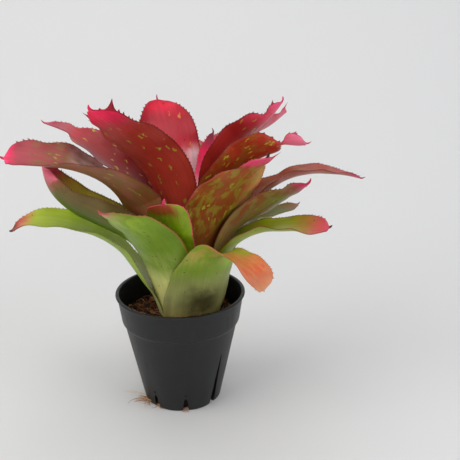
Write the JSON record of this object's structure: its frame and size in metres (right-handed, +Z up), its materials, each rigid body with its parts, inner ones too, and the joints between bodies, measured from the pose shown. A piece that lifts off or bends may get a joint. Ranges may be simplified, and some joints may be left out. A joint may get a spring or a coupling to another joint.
{
  "type": "potted bromeliad",
  "caption": "Neoregelia bromeliad with red and green strap leaves and pink tips, in coir in a black plastic nursery pot with slits round its foot.",
  "frame": {"origin": "centre of the pot's underside, on the ground", "axes": "+Z up out of the pot, -Y towards the front of the plant, +X to its right"},
  "size_m": [0.2544, 0.1828, 0.2311],
  "materials": {
    "pot": "satin black polypropylene",
    "coir": "damp coconut husk chips and fibre",
    "stem": "dull brown stem",
    "leaf_outer": "glossy green leaf, pink at the tip",
    "leaf_middle": "glossy green and red mottled leaf",
    "leaf_inner": "glossy dark red leaf flecked yellow-green, pink at the tip"
  },
  "bodies": {
    "root": {"pot": "pot", "coir": "coir", "stem": "stem", "leaf_01_orange_droop": "leaf_outer", "leaf_02_low_left": "leaf_outer", "leaf_03_low_back_right": "leaf_outer", "leaf_04_front_left": "leaf_outer", "leaf_05_low_back": "leaf_outer", "leaf_06_low_right": "leaf_outer", "leaf_07_left_boat": "leaf_middle", "leaf_08_back_right": "leaf_middle", "leaf_09_front_short": "leaf_middle", "leaf_10_back_left": "leaf_middle", "leaf_11_right_brown": "leaf_middle", "leaf_12_back": "leaf_middle", "leaf_13_long_right": "leaf_inner", "leaf_14_long_left": "leaf_inner", "leaf_15_front_mottled": "leaf_inner", "leaf_16_left_red": "leaf_inner", "leaf_17_big_left": "leaf_inner", "leaf_18_back_right_tip": "leaf_inner", "leaf_19_right_red_green": "leaf_inner", "leaf_20_top_back": "leaf_inner", "leaf_21_top_right": "leaf_inner", "leaf_22_heart_left": "leaf_inner", "leaf_23_heart_back": "leaf_inner", "leaf_24_heart_front": "leaf_inner"}
  },
  "joints": []
}
